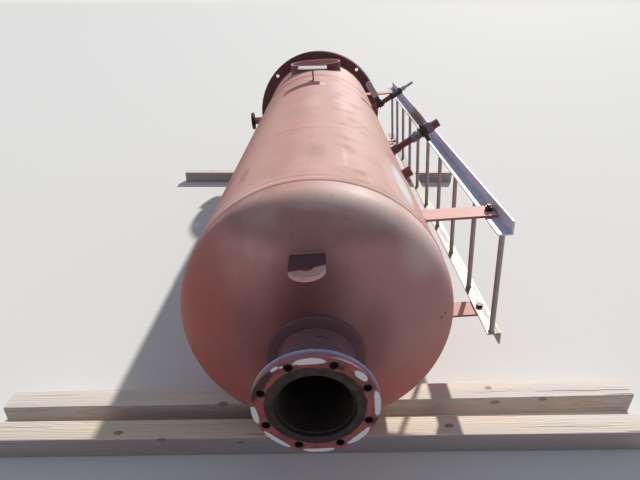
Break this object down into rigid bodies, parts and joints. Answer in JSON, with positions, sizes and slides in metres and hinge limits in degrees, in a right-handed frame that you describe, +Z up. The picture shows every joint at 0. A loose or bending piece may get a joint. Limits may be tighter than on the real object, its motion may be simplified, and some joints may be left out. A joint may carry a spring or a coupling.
{
  "type": "reflux accumulator",
  "caption": "Cylindrical steel process vessel with domed ends, flanged top nozzle, skirt, base ring and side ladder, laid on its side on timbers.",
  "frame": {"origin": "on the ground under the middle of the whole: bottom centre of the bounding box of vessel and timbers", "axes": "+Y along the lying vessel from its top head to its base ring, +X to the ladder's side along the timbers, +Z up"},
  "size_m": [2.4964, 3.6034, 1.0923],
  "materials": {
    "primed_shell": "red oxide primer, chalky, scuffed",
    "weld_beads": "primer over rippled weld",
    "primed_base_ring": "dark red primer",
    "worn_flange": "primer worn to bare steel and rust, face bare and rusty",
    "bare_plate": "bright bare plate",
    "dark_fittings": "dark red-brown primer on forged fittings",
    "black_valve": "black paint, satin",
    "galvanised_pipe": "dull galvanised",
    "lever_grip": "mauve-grey plastic sleeve, faded",
    "grey_union": "grey-blue coating",
    "galvanised_rail": "pale grey coating",
    "brown_rung": "brown-grey coating",
    "primed_clip": "red oxide primer",
    "bolts": "dark steel with rust stains",
    "weathered_timber": "weathered grey-brown softwood with long grain, knots and checks"
  },
  "bodies": {
    "root": {"shell_course_near": "primed_shell", "shell_course_far": "primed_shell", "top_head": "primed_shell", "bottom_head": "primed_shell", "skirt": "primed_shell", "top_nozzle_neck": "primed_shell", "top_nozzle_pad": "primed_shell", "lifting_lug_upper": "primed_shell", "lifting_lug_lower": "primed_shell", "skirt_access_sleeve": "primed_shell", "bottom_outlet_pipe": "primed_shell", "outlet_skirt_sleeve": "primed_shell", "nameplate_web": "primed_shell", "top_girth_weld": "weld_beads", "shell_seam_weld": "weld_beads", "bottom_girth_weld": "weld_beads", "skirt_weld": "weld_beads", "base_ring": "primed_base_ring", "top_nozzle_flange": "worn_flange", "bottom_outlet_flange": "worn_flange", "nameplate_plate": "bare_plate", "near_coupling": "dark_fittings", "middle_coupling": "dark_fittings", "far_coupling": "dark_fittings", "middle_nipple": "dark_fittings", "far_nipple": "dark_fittings", "middle_plug": "dark_fittings", "middle_union": "grey_union", "middle_valve": "black_valve", "far_valve": "black_valve", "far_sleeve": "black_valve", "far_tail_pipe": "galvanised_pipe", "far_valve_grip": "lever_grip", "ladder_rail_upper": "galvanised_rail", "ladder_rail_lower": "galvanised_rail", "ladder_rungs": "brown_rung", "ladder_clip_near_upper": "primed_clip", "ladder_clip_near_lower": "primed_clip", "ladder_clip_far_upper": "primed_clip", "ladder_clip_far_lower": "primed_clip", "ladder_clip_bolts": "bolts", "timber_front": "weathered_timber", "timber_back": "weathered_timber", "timber_far": "weathered_timber"}
  },
  "joints": []
}
